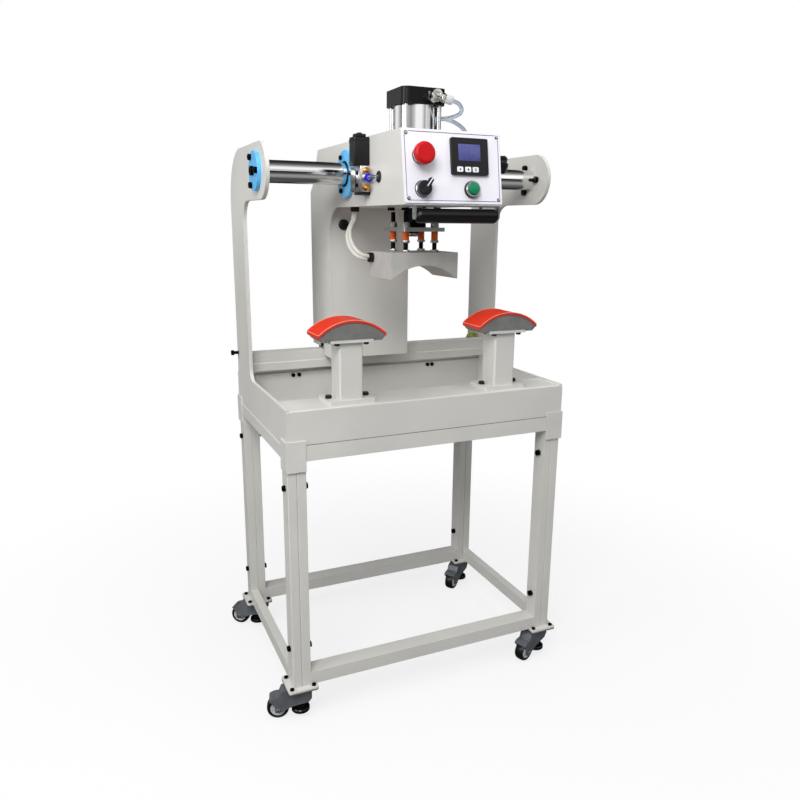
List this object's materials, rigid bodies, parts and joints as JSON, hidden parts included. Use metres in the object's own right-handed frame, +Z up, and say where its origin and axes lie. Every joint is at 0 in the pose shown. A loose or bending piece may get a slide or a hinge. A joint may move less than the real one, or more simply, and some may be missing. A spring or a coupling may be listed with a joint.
{
  "type": "heat press",
  "caption": "Pneumatic cap heat press on a castored stand: a sliding head on a cross tube carries a cylinder and an arched heating platen over curved moulds.",
  "frame": {"origin": "on the floor in the middle of the stand's plan", "axes": "+X across the press along the guide tube, to the right seen from the operator's side; +Y from the operator to the back; +Z up"},
  "size_m": [0.743, 0.6391, 1.342],
  "materials": {
    "aluminium": "machined",
    "black_anodised": "anodised",
    "black_plastic": "matte",
    "black_steel": "black oxide",
    "blue_flange": "anodised",
    "braid": "woven",
    "bushing_orange": "matte",
    "cast_aluminium": "cast",
    "castor_black": "matte",
    "castor_grey": "zinc plated",
    "chrome": "polished",
    "dark_plastic": "satin",
    "foam": "foam",
    "green_plastic": "gloss",
    "grey_paint": "satin powder coat",
    "hose_plastic": "translucent",
    "panel_paint": "satin powder coat",
    "red_plastic": "gloss",
    "red_silicone": "matte",
    "white_plastic": "gloss",
    "zinc": "zinc plated"
  },
  "bodies": {
    "press_frame": {"left_side_frame": "grey_paint", "right_side_frame": "grey_paint", "front_frame": "grey_paint", "rear_frame": "grey_paint", "castor_mounts": "zinc", "frame_bolts": "black_steel", "left_side_plate": "grey_paint", "right_side_plate": "grey_paint", "base_tray": "grey_paint", "rear_beam": "grey_paint", "guide_tube": "chrome", "end_flanges": "blue_flange", "mould_posts": "grey_paint", "mould_saddles": "cast_aluminium", "mould_pads": "red_silicone"},
    "carriage": {"carriage_left_plate": "grey_paint", "carriage_right_plate": "grey_paint", "carriage_web": "grey_paint", "carriage_cover": "grey_paint", "control_panel": "panel_paint", "slide_bushes": "blue_flange", "guide_shoe": "black_plastic", "cylinder_caps": "black_anodised", "cylinder_barrel": "chrome", "cylinder_tie_rods": "zinc", "panel_bezels": "black_plastic", "controller": "dark_plastic", "handle_bracket": "zinc", "handle_grip": "foam", "valve_body": "aluminium", "valve_coil": "dark_plastic", "carriage_fittings": "black_plastic", "air_hoses": "hose_plastic", "carriage_bolts": "black_steel"},
    "ram": {"ram_rod": "chrome", "ram_plate": "aluminium", "ram_studs": "zinc", "ram_bushings": "bushing_orange", "heater_platen": "cast_aluminium", "heater_gland": "black_plastic", "heater_cable": "braid"},
    "estop": {"estop_button": "red_plastic"},
    "selector": {"selector_knob": "dark_plastic"},
    "start": {"start_button": "green_plastic"},
    "key_down": {"controller_key_down": "white_plastic"},
    "key_up": {"controller_key_up": "white_plastic"},
    "key_set": {"controller_key_set": "white_plastic"},
    "regulator": {"regulator_knob": "black_plastic"},
    "castor_front_left": {"castor_fork_front_left": "castor_grey"},
    "wheel_front_left": {"castor_wheel_front_left": "castor_black"},
    "foot_front_left": {"castor_foot_front_left": "castor_black"},
    "castor_front_right": {"castor_fork_front_right": "castor_grey"},
    "wheel_front_right": {"castor_wheel_front_right": "castor_black"},
    "foot_front_right": {"castor_foot_front_right": "castor_black"},
    "castor_rear_left": {"castor_fork_rear_left": "castor_grey"},
    "wheel_rear_left": {"castor_wheel_rear_left": "castor_black"},
    "foot_rear_left": {"castor_foot_rear_left": "castor_black"},
    "castor_rear_right": {"castor_fork_rear_right": "castor_grey"},
    "wheel_rear_right": {"castor_wheel_rear_right": "castor_black"},
    "foot_rear_right": {"castor_foot_rear_right": "castor_black"}
  },
  "joints": [
    {"name": "carriage_slide", "type": "slide", "parent": "press_frame", "child": "carriage", "axis": [1, 0, 0], "range_m": [-0.152, 0.22]},
    {"name": "ram_press", "type": "slide", "parent": "carriage", "child": "ram", "axis": [0, 0, -1], "range_m": [0, 0.1059], "deforming": ["heater_cable"]},
    {"name": "estop_press", "type": "slide", "parent": "carriage", "child": "estop", "axis": [0, 0.9885, -0.1509], "range_m": [0, 0.005]},
    {"name": "selector_turn", "type": "hinge", "parent": "carriage", "child": "selector", "pos_m": [-0.1, -0.35619, 1.14397], "axis": [0, 0.9885, -0.1509], "range_deg": [0, 76]},
    {"name": "start_press", "type": "slide", "parent": "carriage", "child": "start", "axis": [0, 0.9885, -0.1509], "range_m": [0, 0.003], "stiffness_N_per_m": 500, "springref_m": -0.002},
    {"name": "key_down_press", "type": "slide", "parent": "carriage", "child": "key_down", "axis": [0, 0.9885, -0.1509], "range_m": [0, 0.0008], "stiffness_N_per_m": 800, "springref_m": -0.0005},
    {"name": "key_up_press", "type": "slide", "parent": "carriage", "child": "key_up", "axis": [0, 0.9885, -0.1509], "range_m": [0, 0.0008], "stiffness_N_per_m": 800, "springref_m": -0.0005},
    {"name": "key_set_press", "type": "slide", "parent": "carriage", "child": "key_set", "axis": [0, 0.9885, -0.1509], "range_m": [0, 0.0008], "stiffness_N_per_m": 800, "springref_m": -0.0005},
    {"name": "regulator_turn", "type": "hinge", "parent": "carriage", "child": "regulator", "pos_m": [0.0685, -0.308, 1.196], "axis": [1, 0, 0], "range_deg": [-180, 180]},
    {"name": "swivel_front_left", "type": "hinge", "parent": "press_frame", "child": "castor_front_left", "pos_m": [-0.315, -0.207, 0.07], "axis": [0, 0, 1], "continuous": true},
    {"name": "roll_front_left", "type": "hinge", "parent": "castor_front_left", "child": "wheel_front_left", "pos_m": [-0.36306, -0.19322, 0.025], "axis": [0.2756, 0.9613, 0], "continuous": true},
    {"name": "foot_front_left_screw", "type": "slide", "parent": "castor_front_left", "child": "foot_front_left", "axis": [0, 0, -1], "range_m": [-0.003, 0.016]},
    {"name": "swivel_front_right", "type": "hinge", "parent": "press_frame", "child": "castor_front_right", "pos_m": [0.315, -0.207, 0.07], "axis": [0, 0, 1], "continuous": true},
    {"name": "roll_front_right", "type": "hinge", "parent": "castor_front_right", "child": "wheel_front_right", "pos_m": [0.26832, -0.22492, 0.025], "axis": [-0.3584, 0.9336, 0], "continuous": true},
    {"name": "foot_front_right_screw", "type": "slide", "parent": "castor_front_right", "child": "foot_front_right", "axis": [0, 0, -1], "range_m": [-0.003, 0.016]},
    {"name": "swivel_rear_left", "type": "hinge", "parent": "press_frame", "child": "castor_rear_left", "pos_m": [-0.315, 0.207, 0.07], "axis": [0, 0, 1], "continuous": true},
    {"name": "roll_rear_left", "type": "hinge", "parent": "castor_rear_left", "child": "wheel_rear_left", "pos_m": [-0.3544, 0.23778, 0.025], "axis": [0.6157, 0.788, 0], "continuous": true},
    {"name": "foot_rear_left_screw", "type": "slide", "parent": "castor_rear_left", "child": "foot_rear_left", "axis": [0, 0, -1], "range_m": [-0.003, 0.016]},
    {"name": "swivel_rear_right", "type": "hinge", "parent": "press_frame", "child": "castor_rear_right", "pos_m": [0.315, 0.207, 0.07], "axis": [0, 0, 1], "continuous": true},
    {"name": "roll_rear_right", "type": "hinge", "parent": "castor_rear_right", "child": "wheel_rear_right", "pos_m": [0.27404, 0.17832, 0.025], "axis": [-0.5736, 0.8192, 0], "continuous": true},
    {"name": "foot_rear_right_screw", "type": "slide", "parent": "castor_rear_right", "child": "foot_rear_right", "axis": [0, 0, -1], "range_m": [-0.003, 0.016]}
  ]
}
